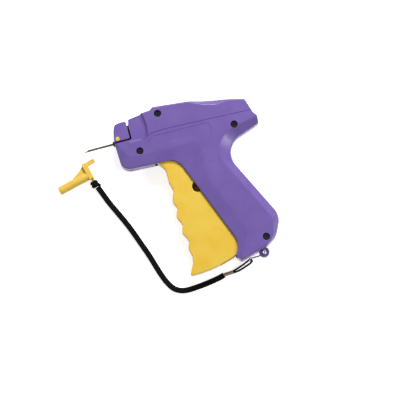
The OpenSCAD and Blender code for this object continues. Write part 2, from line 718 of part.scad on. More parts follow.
module slider() {
    half = roller_d / 2 + slot_play;
    top = roller_top + roller_d / 2 + 0.5;
    color("#e9e6dc") placed() difference() {
        block([slot_x - slider_l / 2, slider_low, zc - slider_half_w],
            [slot_x + slider_l / 2, slider_high, zc + slider_half_w]);
        block([slot_x - slider_l / 2 + 2.4, slider_low - 1, zc - cheek_in],
            [slot_x + slider_l / 2 - 2.4, slider_high + 1, zc + cheek_in]);
        block([slot_x - half, slider_low - 1, zc - 20], [slot_x + half, top, zc + 20]);
        // Coring of the cheeks
        for (s = [-1, 1]) block([slot_x + s * 8 - 2, slider_low + 2.5, zc - 20],
            [slot_x + s * 8 + 2, slider_high - 2.5, zc + 20]);
        rod_x(slot_x - slider_l / 2 - 1, slot_x - slider_l / 2 + 3, needle_y, zc, rod_d);
    }
}

module pusher_rod() {
    color(steel) placed() rod_x(rod_tip, slot_x - slider_l / 2 + 2.4, needle_y, zc, rod_d);
}

module rod_guide() {
    color(black) placed() difference() {
        block([guide_x0 + 0.05, guide_y0 + 0.05, zc - guide_half + 0.05],
            [guide_x1 - 0.05, guide_y1 - 0.05, zc + guide_half - 0.05]);
        rod_x(guide_x0 - 1, guide_x1 + 1, needle_y, zc, rod_d + 2 * pin_gap);
    }
}

module bumper() {
    x0 = slot_x + slider_l / 2 + run_gap;
    color(black) placed() block([x0, slider_low + 1, zc - 5], [x0 + bumper_t, slider_high - 1, zc + 5]);
}

module feed_wheel() {
    deep = 1.1;
    r = feed_d / 2;
    rr = ratchet_d / 2;
    pitch = 360 / feed_teeth;
    color("#2a2a2c") placed() translate([bar_x0 + 0.1, feed_y, feed_z]) rotate([0, 90, 0])
        difference() {
        union() {
            linear_extrude(bar_l - 0.1) polygon([for (k = [0 : feed_teeth - 1]) for (s = [
                [r - deep, -0.46], [r, -0.18], [r, 0.18], [r - deep, 0.46]])
                s[0] * [cos((k + s[1]) * pitch), sin((k + s[1]) * pitch)]]);
            linear_extrude(bar_l + ratchet_t) polygon([for (k = [0 : feed_teeth - 1]) for (s = [
                [rr - 0.7, 0.02], [rr, 0.12]]) s[0] * [cos((k + s[1]) * pitch), sin((k + s[1]) * pitch)]]);
        }
        translate([0, 0, -1]) cylinder(d = axle_d + 2 * pin_gap, h = bar_l + 10);
    }
}

module feed_axle() {
    color(steel) placed() rod_x(bar_x0 - 2, -20, feed_y, feed_z, axle_d);
}

module feed_pawl() {
    tip = [feed_y + (ratchet_d / 2 + 0.2) * cos(50), feed_z + (ratchet_d / 2 + 0.2) * sin(50)];
    color("#8d8f93") placed() translate([bar_x1 + 0.35, 0, 0]) rotate([90, 0, 90]) linear_extrude(1.6)
        difference() {
        union() {
            translate([pawl_y, pawl_z]) circle(r = 1.5);
            polygon([[pawl_y - 1.3, pawl_z - 0.6], [pawl_y + 0.5, pawl_z + 1.4],
                [tip[0] + 1.6, tip[1] + 0.2], [tip[0], tip[1]], [tip[0] + 0.7, tip[1] - 1]]);
        }
        translate([pawl_y, pawl_z]) circle(d = pawl_pin_d + 2 * pin_gap);
    }
}

module pawl_pin() {
    color(steel) placed() rod_x(bar_x1 - 0.9, bar_x1 + ratchet_t + 1.9, pawl_y, pawl_z, pawl_pin_d);
}

module detent_spring() {
    y = feed_y + feed_d / 2;
    color(steel) placed() translate([bar_x0 + 2, 0, 0]) rotate([90, 0, 90]) linear_extrude(bar_l - 4)
        polygon([
        [y + 0.5, feed_z - 3.5], [y + 0.5, zc - bar_z - 0.4], [y + 0.1, zc - bar_z - 0.4],
        [y + 0.1, feed_z - 3.5]]);
}

module wire_hook() {
    color(steel) placed() tube(HOOK, hook_d, 8);
}

module cord_loop() {
    color(black) placed() tube(LOOP, thread_d, 8);
}

ferrule_a = [27.8, -109.4, 1.9];
ferrule_b = [19.4, -109.8, 1.7];

module crimp_ferrule() {
    run = ferrule_b - ferrule_a;
    color("#8f7f6c") placed() translate(ferrule_a) rotate([0, 90, atan2(run[1], run[0])])
        cylinder(d = ferrule_d, h = norm(run));
}

module lanyard_strap() {
    w = strap_w / 2;
    h = strap_t / 2;
    c = 0.45;
    color(black) placed() sweep(STRAP, [[w, -h + c], [w, h - c], [w - c, h], [-w + c, h],
        [-w, h - c], [-w, -h + c], [-w + c, -h], [w - c, -h]]);
}

cap_turn = 14;
cap_at = [-74, 5.3, 4];

module in_cap() {
    translate(cap_at) rotate(cap_turn) children();
}

module cap_knot() {
    color(black) placed() in_cap() translate([2.3, -10, -0.2]) rotate([90, 0, 0]) rotate_extrude()
        intersection() {
            scale([1, 0.75]) circle(d = 7.4);
            translate([0, -5]) square([10, 10]);
        }
}

module needle_cap() {
    half = cap_at[2];
    color(yellow) placed() in_cap() difference() {
        union() {
            rod_x(-cap_l + 1, 1, 0, 0, cap_d);
            translate([-cap_l, 0, 0]) rotate([0, 90, 0]) cylinder(d1 = cap_d - 1.6, d2 = cap_d, h = 1);
            block([0, -cap_d / 2 - 0.4, -half], [flange_t, flange_up, half]);
            prism([[-14.5, cap_d / 2 - 0.6], [0.5, cap_d / 2 - 0.6], [0.5, flange_up - 1]], -1.2, 1.2);
            block([flange_t - 0.5, flange_up - 3.4, -3], [flange_t + 7.5, flange_up, 3]);
            translate([flange_t / 2 + 0.5, -cap_d / 2, 0]) rotate([90, 0, 0]) cylinder(d = 2.8, h = 3.6);
        }
        rod_x(-cap_l - 1, flange_t + 1, 0, 0, cap_bore_d);
    }
}

left_shell();
right_shell();
nose_block();
needle();
needle_base();
needle_lock();
casing_screws();
trigger();
trigger_pin();
drive_pin();
return_spring();
drive_lever();
lever_pin();
roller_pin();
drive_rollers();
slider();
pusher_rod();
rod_guide();
bumper();
feed_wheel();
feed_axle();
feed_pawl();
pawl_pin();
detent_spring();
wire_hook();
cord_loop();
crimp_ferrule();
lanyard_strap();
cap_knot();
needle_cap();
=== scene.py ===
"""Garment tag attacher.

Lilac casing, yellow squeeze trigger, slotted needle and a lanyard that carries the needle's cap.
"""
import bmesh
import bpy
import math
from mathutils import Matrix, Vector


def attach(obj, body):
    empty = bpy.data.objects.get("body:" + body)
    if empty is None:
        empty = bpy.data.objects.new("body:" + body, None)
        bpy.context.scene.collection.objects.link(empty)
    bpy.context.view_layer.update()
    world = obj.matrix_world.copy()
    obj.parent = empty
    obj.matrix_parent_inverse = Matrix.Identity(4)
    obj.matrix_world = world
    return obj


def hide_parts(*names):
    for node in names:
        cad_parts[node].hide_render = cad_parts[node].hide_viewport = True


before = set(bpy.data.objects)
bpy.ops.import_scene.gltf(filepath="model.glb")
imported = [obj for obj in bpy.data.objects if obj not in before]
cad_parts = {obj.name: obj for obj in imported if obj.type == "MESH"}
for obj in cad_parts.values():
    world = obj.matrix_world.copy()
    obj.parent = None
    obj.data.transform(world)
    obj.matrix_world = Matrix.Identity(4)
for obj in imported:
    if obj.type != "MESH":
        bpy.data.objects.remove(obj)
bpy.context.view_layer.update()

# Lengths below are in millimetres. Their origin is near the barrel's lower edge, 10 mm below the part's.
MM = 0.001
ORIGIN = Vector((0, -10, 0))
THICK = 25.0
PARTING = THICK / 2
SHARP = math.radians(32)  # faces that meet at less than this are shaded as one
TURNED_SIDES = 40

# ---------------------------------------------------------------- camera

LEAN = math.radians(15)  # turn of the tool in the picture
ACROSS = Vector((math.cos(LEAN), -math.sin(LEAN), 0))
UPWARD = Vector((math.sin(LEAN), math.cos(LEAN), 0))
TILT = math.radians(6)
DISTANCE = 2.2
SENSOR = 36
FRAME_WIDTH = 0.348
AIM = (15.5, -42.9)


def make_camera():
    """Looks down on the tool as it lies, from slightly below the picture's middle."""
    aim = (Vector((*AIM, THICK)) + ORIGIN) * MM
    ahead = UPWARD * math.sin(TILT) - Vector((0, 0, math.cos(TILT)))
    top = UPWARD * math.cos(TILT) + Vector((0, 0, math.sin(TILT)))
    data = bpy.data.cameras.new("camera")
    data.sensor_width = SENSOR
    data.lens = SENSOR * DISTANCE / FRAME_WIDTH
    camera = bpy.data.objects.new("camera", data)
    bpy.context.scene.collection.objects.link(camera)
    turn = Matrix((ACROSS, top, -ahead)).transposed().to_4x4()
    camera.matrix_world = Matrix.Translation(aim - ahead * DISTANCE) @ turn
    bpy.context.scene.camera = camera


make_camera()

# ---------------------------------------------------------------- meshes


def metres(points):
    """Places in the part's frame of points in millimetres."""
    return [tuple((Vector(p) + ORIGIN) * MM) for p in points]


def shade(ob):
    ob.data.shade_smooth()
    ob.data.set_sharp_from_angle(angle=SHARP)


def mesh_object(name, points, faces):
    """A shaded mesh from points in metres."""
    mesh = bpy.data.meshes.new(name)
    mesh.from_pydata(points, [], faces)
    mesh.validate()
    ob = bpy.data.objects.new(name, mesh)
    bpy.context.scene.collection.objects.link(ob)
    shade(ob)
    return ob


def through_rings(name, rings, closed=False):
    """A solid through rings of equal length, which turn anticlockwise seen against the way they go."""
    n = len(rings[0])
    points = [p for ring in rings for p in ring]
    faces = []
    for j in range(len(rings) - (0 if closed else 1)):
        a, b = j * n, (j + 1) % len(rings) * n
        faces += [(a + k, a + (k + 1) % n, b + (k + 1) % n, b + k) for k in range(n)]
    if not closed:
        faces.append(tuple(range(n))[::-1])
        faces.append(tuple(range(len(points) - n, len(points))))
    return mesh_object(name, metres(points), faces)



def prism(name, outline, low, high):
    return through_rings(name, [[(x, y, z) for x, y in outline] for z in (low, high)])


def box(name, low, high):
    (a, b, c), (d, e, f) = low, high
    return prism(name, [(a, b), (d, b), (d, e), (a, e)], c, f)


def angles(sides):
    """Directions of the points of a round."""
    return [math.tau * k / sides for k in range(sides)]


def polar(centre, radius, angle):
    return centre[0] + radius * math.cos(angle), centre[1] + radius * math.sin(angle)


def circle(centre, radius, sides=48):
    return [polar(centre, radius, a) for a in angles(sides)]


def lathe(name, profile, place):
    """A turned solid: profile rows are (radius, distance along the axis), place maps them to the part."""
    return through_rings(name, [[place(r * math.cos(a), r * math.sin(a), h) for a in angles(TURNED_SIDES)]
                                for r, h in profile])



def upright(x, y):
    """Place of a turned solid that stands on z."""
    return lambda a, b, h: (x + a, y + b, h)


def combine(ob, operation, *tools):
    """Joins tools to ob, or cuts them from it, and leaves one clean mesh."""
    group = bpy.data.collections.new("tools")
    bpy.context.scene.collection.children.link(group)
    for tool in tools:
        group.objects.link(tool)
    cut = ob.modifiers.new("cut", "BOOLEAN")
    cut.operation, cut.solver, cut.operand_type, cut.collection = operation, "EXACT", "COLLECTION", group
    made = bpy.data.meshes.new_from_object(ob.evaluated_get(bpy.context.evaluated_depsgraph_get()))
    ob.modifiers.clear()
    ob.data = made
    for tool in tools:
        bpy.data.objects.remove(tool)
    bpy.data.collections.remove(group)
    shade(ob)
    return ob


def even_shading(ob):
    """Large flats keep their own normal, so that their rims don't darken."""
    weigh = ob.modifiers.new("weigh", "WEIGHTED_NORMAL")
    weigh.mode, weigh.weight, weigh.keep_sharp = "FACE_AREA", 90, True


# ---------------------------------------------------------------- outlines

STEP_ANGLE = 7  # degrees of a rounded corner from one point to the next
LEAST_ROUND = 0.6  # smallest radius of an outline that is moved in
NEARLY_STRAIGHT = math.radians(89)  # half the angle of a corner that gets no round
STRAIGHT_RUN = 0.8  # length that the points of such a corner take up


def unit(x, y):
    size = math.hypot(x, y)
    return x / size, y / size


def corners(rows):
    """Each corner's x, y and radius, with the places of the corners before and after it."""
    for i, row in enumerate(rows):
        yield *row, rows[i - 1][:2], rows[(i + 1) % len(rows)][:2]


def moved_in(rows, w):
    """Rows of x, y, radius with their outline moved inwards by w."""
    out = []
    for x, y, r, (px, py), (qx, qy) in corners(rows):
        (ux, uy), (vx, vy) = unit(x - px, y - py), unit(qx - x, qy - y)
        a, b = (-uy, ux), (-vy, vx)
        k = w / (1 + a[0] * b[0] + a[1] * b[1])
        side = math.copysign(1, ux * vy - uy * vx)
        out.append((x + k * (a[0] + b[0]), y + k * (a[1] + b[1]), max(LEAST_ROUND, r - w * side)))
    return out


def corner_steps(rows, least=2):
    """How many steps each rounded corner needs."""
    steps = []
    for x, y, _, (px, py), (qx, qy) in corners(rows):
        (ux, uy), (vx, vy) = unit(x - px, y - py), unit(qx - x, qy - y)
        angle = abs(math.atan2(ux * vy - uy * vx, ux * vx + uy * vy))
        steps.append(max(least, math.ceil(math.degrees(angle) / STEP_ANGLE)))
    return steps


def rounded(rows, steps):
    """Outline points of rows of x, y, radius."""
    out = []
    for (x, y, r, (px, py), (qx, qy)), n in zip(corners(rows), steps):
        (ux, uy), (vx, vy) = unit(px - x, py - y), unit(qx - x, qy - y)
        half = math.acos(max(-1, min(1, ux * vx + uy * vy))) / 2
        if half > NEARLY_STRAIGHT:
            out += [(x + vx * (k / n - 0.5) * STRAIGHT_RUN, y + vy * (k / n - 0.5) * STRAIGHT_RUN)
                    for k in range(n + 1)]
            continue
        wx, wy = unit(ux + vx, uy + vy)
        mx, my = x + wx * r / math.sin(half), y + wy * r / math.sin(half)
        sx, sy = x + ux * r / math.tan(half), y + uy * r / math.tan(half)
        side = math.copysign(1, (x - px) * (qy - y) - (y - py) * (qx - x))
        first = math.atan2(sy - my, sx - mx)
        sweep = side * (math.pi - 2 * half)
        out += [polar((mx, my), r, first + sweep * k / n) for k in range(n + 1)]
    return out



def bend(p, q, r, t):
    """Point at t of the round between straights p-q and q-r."""
    return tuple((1 - t) ** 2 * a + 2 * t * (1 - t) * b + t * t * c for a, b, c in zip(p, q, r))


# Corners of the casing: side wall x, y, radius; face edge x, y, radius; drop of the sloped band between them.
CASE = [
    (-42.8, -0.6, 8.4, -33.4, 8.8, 8.4, 2), (-14.3, -1.8, 20, -14, 8, 20, 2), (5.3, -1.7, 15, 26.8, 8, 4, 2),
    (9.9, -13.5, 2, 28, -6, 8, 2), (16.9, -31.4, 2, 26.8, -25, 8, 2), (38.7, -87.1, 16, 49.6, -80.5, 12, 2),
    (33.4, -97.6, 0.6, 39.6, -96.4, 1.5, 2), (37.2, -103, 1, 39.1, -101.5, 0.8, 1.2),
    (60.6, -96.9, 2, 60.3, -95.4, 2, 1.2), (71.5, -90.3, 14, 69.6, -90.2, 9, 4.5),
    (79.8, -73.5, 16, 73, -74, 12, 5), (45.1, -2.8, 17.2, 33.5, 5.9, 20.3, 5),
    (82.8, 9.8, 1.6, 82, 15.9, 0.6, 5), (83.1, 16.2, 1.4, 81.9, 17, 0.5, 1),
    (80.2, 20.2, 1.2, 79.4, 20.6, 1, 1), (76.1, 33.4, 2.4, 75.2, 32.6, 1.8, 1),
    (62, 36.7, 20, 62.5, 35.7, 3, 1), (50, 39.2, 20, 51, 34.8, 10, 3.6), (39, 41.3, 20, 40, 37.6, 10, 3.2),
    (28, 43.8, 20, 28, 43, 3, 1), (-3.9, 47, 1.4, -3.6, 46.1, 1.2, 1), (-6.4, 44.9, 1.5, -6.7, 44, 1.2, 1),
    (-14.4, 44.3, 1, -14.6, 43.4, 0.8, 1), (-16, 43.3, 1, -16.2, 42.4, 0.8, 1),
    (-27.4, 41.7, 1.6, -26.5, 40.8, 1.2, 1), (-27.5, 38.4, 0.3, -26.6, 37.6, 0.1, 1),
    (-29.6, 38.4, 0.3, -30.4, 37.6, 0.1, 1), (-29.7, 41.2, 1.2, -30.5, 40.3, 1, 1),
    (-41.1, 40.4, 4.3, -40.3, 39.5, 3.5, 1), (-43.9, 25, 1, -42.9, 25, 1, 1.2), (-43.6, 20, 2, -41, 20, 4, 2)]
SIDE = [row[0:3] for row in CASE]
FACE = [row[3:6] for row in CASE]
STEPS = [max(a, b) for a, b in zip(corner_steps(SIDE), corner_steps(FACE))]
DROPS = [row[6] for row, n in zip(CASE, STEPS) for _ in range(n + 1)]
SOFT_LOW, SOFT_HIGH = 1.4, 1.1  # reach of the moulded rounds where the band meets wall and face
SOFT_SHARE = 0.42  # most of the band's length that one of them takes
WALL = 2.2
NEEDLE_Y = 25.3
SCREWS = [(-0.7, 40.2), (-24, 12.2), (61.5, 13.8), (63, -88.5)]
BOSS_RADIUS, SCREW_RADIUS = 4.4, 1.65
RECESS_RADIUS, RECESS_DEPTH, RECESS_LIP = 3.15, 7.5, 0.3
PAD_DEPTH = 2.4
LOCK_AT, LOCK_RADIUS, FOOT_RADIUS = (-40, 27.9), 1.55, 2.75
LEVER_AT, LEVER_POST_RADIUS = (26, -22.5), 4.2
LUG_AT, EYE_AT, EYE_RADIUS = (58.1, -100.5), (58.4, -100.6), 1.6
PIVOT = (-6, 6)
OPENING_RADIUS = 112.8  # clears the trigger's end, about its pivot
NOSE = [(-42.6, 18.6), (-19.6, 18.6), (-19.6, 41.7), (-26.4, 40.7), (-26.4, 37.3), (-30.7, 37.3),
        (-30.7, 40), (-38.6, 39.4), (-40.8, 36)]
NOSE_TOP = THICK - 2.4


def case_rings():
    """Rings of the casing's outer skin, with moulded rounds where band meets wall and face."""
    columns = []
    for (sx, sy), (fx, fy), drop in zip(rounded(SIDE, STEPS), rounded(FACE, STEPS), DROPS):
        edge = THICK - drop
        away = math.hypot(fx - sx, fy - sy)
        length = math.hypot(away, drop)
        a = min(SOFT_LOW, SOFT_SHARE * length) / length
        b = min(SOFT_HIGH, SOFT_SHARE * length) / length
        low, high = (sx, sy, edge), (fx, fy, THICK)
        part = lambda t: (sx + (fx - sx) * t, sy + (fy - sy) * t, edge + drop * t)
        inner = (fx + (fx - sx) / away * b * length * 0.7, fy + (fy - sy) / away * b * length * 0.7, THICK)
        column = [(sx, sy, PARTING), (sx, sy, edge - a * length)]
        column += [bend(column[1], low, part(a), t) for t in (0.25, 0.5, 0.75, 1)]
        column += [bend(part(1 - b), high, inner, t) for t in (0, 0.25, 0.5, 0.75, 1)]
        columns.append(column)
    return [list(ring) for ring in zip(*columns)]


def hollow_rings():
    """Rings of the casing's inside, one wall's thickness within its skin."""
    side, face = rounded(moved_in(SIDE, WALL), STEPS), rounded(moved_in(FACE, WALL * 0.6), STEPS)
    low = [(x, y, PARTING - 1) for x, y in side]
    edge = [(x, y, THICK - WALL - d) for (x, y), d in zip(side, DROPS)]
    return [low, edge, [(x, y, THICK - WALL) for x, y in face]]


def flipped(ob):
    """Turns a left half into a right one, about the parting plane."""
    for v in ob.data.vertices:
        v.co.z = THICK * MM - v.co.z
    ob.data.flip_normals()
    return ob


def groove(points, half, depth):
    """A V-shaped line in the casing's face."""
    rings = []
    for i, (x, y) in enumerate(points):
        px, py = points[max(0, i - 1)]
        qx, qy = points[min(len(points) - 1, i + 1)]
        ux, uy = unit(qx - px, qy - py)
        rings.append([(x - uy * s * half, y + ux * s * half, THICK + z) for s, z in
                      ((-2, 1), (-1, 0), (-0.3, -depth), (0.3, -depth), (1, 0), (2, 1))])
    return through_rings("groove", rings)


def face_details():
    """Panel line and the bare label panel under it."""
    line = [(-15.5, 22), (-14.4, 22.8), (-13, 23.5), (-11.6, 24.2), (-10, 24.7), (-5, 25.1), (0, 25.3),
            (10, 25.1), (20, 24.7), (40, 23.8), (60, 23.1), (80.5, 22.3)]
    panel = [(-9, 12.6, 1), (39.4, 12.6, 1.5), (41.8, 16.6, 3), (39.6, 21.4, 2), (-9, 22, 1)]
    steps = corner_steps(panel, least=4)
    rings = [[(x, y, THICK + z) for x, y in rounded(moved_in(panel, w), steps)]
             for w, z in ((-0.8, 0.6), (0, 0), (0.35, -0.3))]
    return [groove(line, 0.38, 0.42), through_rings("label_panel", rings[::-1])]


def pad_cutter():
    """Recess behind the feed slit: its walls rise from the floor in a hollow curve."""
    floor = [(-31, 23.3, 0.3), (-17.9, 23.3, 5), (-17.3, 34, 20), (-18.6, 50, 0.3), (-31, 50, 0.3)]
    rim = [(-31, 20.8, 0.3), (-13.4, 19.6, 7.5), (-12.3, 33, 20), (-14.3, 50, 0.3), (-31, 50, 0.3)]
    steps = [2, 14, 6, 2, 2]
    ends = list(zip(rounded(floor, steps), rounded(rim, steps)))
    # Share of the way from floor to rim, and the height there over the casing's face
    rise = [(t, -PAD_DEPTH * share) for t, share in
            ((0, 1), (0.22, 0.985), (0.42, 0.93), (0.6, 0.8), (0.75, 0.6), (0.87, 0.35), (0.95, 0.12), (1, 0))]
    return through_rings("pad", [[(a[0] + (b[0] - a[0]) * t, a[1] + (b[1] - a[1]) * t, THICK + z)
                                  for a, b in ends] for t, z in (*rise, (1.06, 0.5))])


def recess_cutter(at):
    """Round recess over a screw, with a small soft lip."""
    r, lip = RECESS_RADIUS, RECESS_LIP
    return lathe("recess", [(r, THICK - RECESS_DEPTH), (r, THICK - lip), (r + lip * 0.3, THICK - lip * 0.3),
                            (r + lip, THICK), (r + lip + 0.6, THICK + 0.6)], upright(*at))


def trigger_opening():
    """Space that the trigger swings in."""
    reach = [polar(PIVOT, OPENING_RADIUS, math.radians(a)) for a in range(-110, -58, 4)]
    return prism("opening", [(-13.9, 3), (-13.9, -10), (-30, -60), (-40, -88)] + reach +
                 [(43.5, -84), (14, -12), (4, 3)], PARTING - 1.5, PARTING + 8.3)


def half_casing(name, lever_side=False):
    """One half of the casing, its parting plane below, and the cutters that both halves share."""
    hollow = through_rings("hollow", hollow_rings())
    solids = [prism("nose_core", NOSE, PARTING - 3, THICK - WALL + 1)]
    solids += [box("recess_back", (-21, 20.4, THICK - 5.4), (-11.5, 44, THICK - WALL + 1))]
    solids += [prism("boss", circle(s, BOSS_RADIUS), PARTING - 3, THICK) for s in SCREWS]
    if lever_side:
        solids += [prism("lever_post", circle(LEVER_AT, LEVER_POST_RADIUS), PARTING + 2.5, THICK)]
    combine(hollow, "DIFFERENCE", *solids)
    half = through_rings(name, case_rings())
    lug = lathe("lug", [(4.5, PARTING), (4.5, PARTING + 2.5), (4.35, PARTING + 2.85), (4.0, PARTING + 3)],
                upright(*LUG_AT))
    combine(half, "UNION", lug)
    cutters = [hollow, trigger_opening(), *face_details(),
               prism("eye", circle(EYE_AT, EYE_RADIUS), PARTING - 1, PARTING + 5),
               box("drop_slot", (-37, -4, PARTING - 1), (-28, 3.5, PARTING + 1.5))]
    return half, cutters


def middle_box(name, x0, y0, x1, y1, half):
    """A box about the parting plane, its y measured from the needle's line."""
    return box(name, (x0, NEEDLE_Y + y0, PARTING - half), (x1, NEEDLE_Y + y1, PARTING + half))


def seats():
    """Needle seat, bar channel and guide seat, cut from both halves."""
    return [middle_box("needle_seat", -46.8, -2.1, -35.5, 1.9, 2.2),
            box("channel", (-33.8, NEEDLE_Y - 0.95, PARTING - 0.8), (-23.8, 50, PARTING + 0.8)),
            middle_box("guide_seat", -36.6, -0.9, -13.5, 0.9, 0.9)]


def make_left_casing():
    half, cutters = half_casing("casing_left", lever_side=True)
    nose = prism("nose_gap", [(-60, 23.9), (-31.3, 23.9), (-28.7, 24.5), (-28.1, 25.5), (-28.1, 60), (-60, 60)],
                 PARTING - 1, THICK + 1)
    holes = [prism("screw_hole", circle(s, SCREW_RADIUS), PARTING - 1, THICK - 7) for s in SCREWS]
    return combine(half, "DIFFERENCE", *cutters, *seats(), pad_cutter(), nose, *holes,
                   *[recess_cutter(s) for s in SCREWS])


def make_right_casing():
    half, cutters = half_casing("casing_right")
    combine(half, "DIFFERENCE", *cutters)
    flipped(half)
    lock = prism("lock_hole", circle(LOCK_AT, LOCK_RADIUS), -1, 14)
    foot = prism("lock_foot", circle(LOCK_AT, FOOT_RADIUS), -1, 3.05)
    wheel = box("wheel_pocket", (-34, 25.3, 2.5), (-23.6, 35.4, PARTING + 1))
    pawl = box("pawl_pocket", (-23.8, 25.8, 2.5), (-21.3, 40.2, PARTING + 1))
    return combine(half, "DIFFERENCE", *seats(), lock, foot, wheel, pawl)


def make_nose_block():
    """The small block in front of the feed slit, with softened edges."""
    rows = [(-43.85, 25.5, 0.5), (-29.5, 25.5, 0.5), (-29.5, 38.4, 0.3), (-29.5, 40.95, 1.4), (-34, 41.3, 10),
            (-40.1, 40.5, 4.4), (-42, 35.2, 9)]
    steps = corner_steps(rows, least=4)
    top = NOSE_TOP
    rings = [[(x, y, z) for x, y in rounded(moved_in(rows, w), steps)] for w, z in
             ((0, PARTING), (0, top - 0.7), (0.06, top - 0.43), (0.21, top - 0.2), (0.43, top - 0.05),
              (0.7, top))]
    block = through_rings("nose_cover", rings)
    hole = lathe("lock_rim", [(1.85, top - 3), (1.85, top - 0.25), (2.1, top), (2.4, top + 0.3)],
                 upright(*LOCK_AT))
    return combine(block, "DIFFERENCE", *seats(), hole)



# Corners of the trigger: x, y, radius. The finger side runs up its front.
TRIGGER = [
    (-9.6, -104.3, 1.2), (0, -104.2, 30), (10, -103.2, 30), (20, -101.25, 30), (29, -98.7, 30),
    (37.4, -95.4, 1.4), (41.2, -86, 10), (28.2, -52.5, 5), (37.2, -46, 4), (37.4, -35.4, 4),
    (17.5, -25, 1.5), (11, -9, 8), (2.5, 2.5, 3), (1.2, 13.2, 7), (-13.2, 13.2, 7), (-13.3, 0.6, 2),
    (-6.2, -8, 10), (-6.6, -20, 6), (-4.4, -28.5, 6), (-8, -37.3, 4.5), (-4.9, -44, 4.5), (-8.2, -51, 4.5),
    (-4.4, -58.8, 4.5), (-6.8, -65.8, 4.5), (-2.6, -74.2, 5), (-5, -80.6, 5), (-3.4, -88, 6),
    (-4.4, -94, 5)]
HOLLOW = [(-0.4, -101.6), (70, -101.6), (70, 30), (-30, 30), (-30, -0.5), (-9.3, -0.5), (-5, -5), (-3.4, -12),
          (-3.4, -55), (-0.4, -72)]
DRIVE_PIN = (32.416, -39.281)
PIVOT_HOLE_RADIUS, PIN_HOLE_RADIUS = 2.05, 2.0
TRIGGER_HALF, TRIGGER_SOFT = 8.0, 0.9  # half its thickness, and how far its rims are rounded
SLOT_RADIUS, SLOT_HALF, SLOT_STEPS = 42.851, 5, 30  # curved slot about the pivot, for the lever's post
SLOT_LOW, SLOT_HIGH = math.radians(-57.689), math.radians(-31.689)
THROUGH = 26  # past the part's far side


def make_trigger():
    """The hollow trigger, with the slot in its near wall and the holes of its two pins."""
    steps = corner_steps(TRIGGER)
    half = TRIGGER_HALF
    profile = [(TRIGGER_SOFT, -half), (0.45, -half + 0.06), (0.18, -half + 0.24), (0, -half + 0.62)]
    profile += [(w, -z) for w, z in profile[::-1]]
    rings = [[(x, y, PARTING + z) for x, y in rounded(moved_in(TRIGGER, w), steps)] for w, z in profile]
    body = through_rings("trigger_grip", rings)
    arc = [SLOT_LOW + (SLOT_HIGH - SLOT_LOW) * k / SLOT_STEPS for k in range(SLOT_STEPS + 1)]
    slot = [polar(PIVOT, SLOT_RADIUS + SLOT_HALF, a) for a in arc]
    slot += [polar(PIVOT, SLOT_RADIUS - SLOT_HALF, a) for a in arc[::-1]]
    slot_end = circle(polar(PIVOT, SLOT_RADIUS, SLOT_LOW), SLOT_HALF)
    return combine(body, "DIFFERENCE", prism("inside", HOLLOW, PARTING - 6, PARTING + 6),
                   prism("slot", slot, PARTING, THROUGH), prism("slot_end", slot_end, PARTING, THROUGH),
                   prism("pivot_hole", circle(PIVOT, PIVOT_HOLE_RADIUS), -1, THROUGH),
                   prism("pin_hole", circle(DRIVE_PIN, PIN_HOLE_RADIUS), -1, THROUGH))


# ---------------------------------------------------------------- lanyard

CAP_AT, CAP_TURN = Vector((-74, 5.3, 4)), math.radians(14)
STRAP_HALF, STRAP_HALF_UP = 2.5, 0.9
CORD_RADIUS, WIRE_RADIUS, CORD_SIDES = 0.86, 0.65, 16
FERRULE_ENDS = (27.8, -109.4, 1.9), (19.4, -109.8, 1.7)
FERRULE_SIDES, KNOT_SIDES, KNOT_STEPS = 32, 14, 28
LEVEL_LEAST, LEVEL_SURE = 0.2, 0.35  # how far a path has to lie level to guide its section
STRAP = [
    (19.4, -109.8, 1.7), (15, -111.1, 1.6), (8, -112.3, 1.4), (0, -113.4, 1.2), (-8, -114.1, 1.2),
    (-14.5, -114.3, 1.3), (-20.5, -113.3, 1.4), (-26, -110, 1.5), (-29.8, -104.6, 1.5), (-33, -97.4, 1.4),
    (-36.2, -87.5, 1.4), (-39.6, -76.2, 1.6), (-43.8, -64.5, 2), (-47.8, -53.4, 2.3), (-52, -43, 1.9),
    (-56.9, -32.4, 1.5), (-61.8, -21.8, 1.4), (-65.5, -12.2, 1.9), (-67.8, -6.4, 3.2)]
LOOP = [
    (27.8, -108.7, 1.9), (31, -107.8, 2.5), (34.5, -106.7, 3.4), (38, -105.5, 4.3), (41.5, -104.1, 5.1),
    (44.2, -103, 5.7), (45.9, -103.6, 6), (45.8, -105, 5.7), (43.5, -106.3, 5), (40, -107.5, 4.1),
    (36, -108.8, 3.2), (32, -109.7, 2.4), (27.8, -110.1, 1.9)]
HOOK = [
    (58.8, -98.2, 17.9), (58.6, -99.3, 18.1), (58.4, -100.6, 17.2), (58.4, -100.6, 14.5),
    (58.4, -100.6, 10.5), (58.2, -100.9, 8.1), (57, -101.6, 6.9), (54, -102, 6.8), (50.5, -102.2, 6.9),
    (47.5, -102.2, 7.1), (45, -102.1, 7.8), (44.1, -103.4, 8.2), (44.5, -104.6, 7.6)]
# Rings of the ferrule: share of its length, radius, and how flat it is pinched there
FERRULE_RINGS = [
    (0, 1.25, 1), (0, 1.6, 1), (0.03, 1.7, 1), (0.1, 1.7, 1), (0.2, 1.66, 0.92), (0.3, 1.62, 0.84),
    (0.38, 1.66, 0.94), (0.5, 1.7, 1), (0.62, 1.66, 0.94), (0.7, 1.62, 0.84), (0.8, 1.66, 0.92),
    (0.9, 1.7, 1), (0.97, 1.7, 1), (1, 1.6, 1), (1, 1.25, 1)]


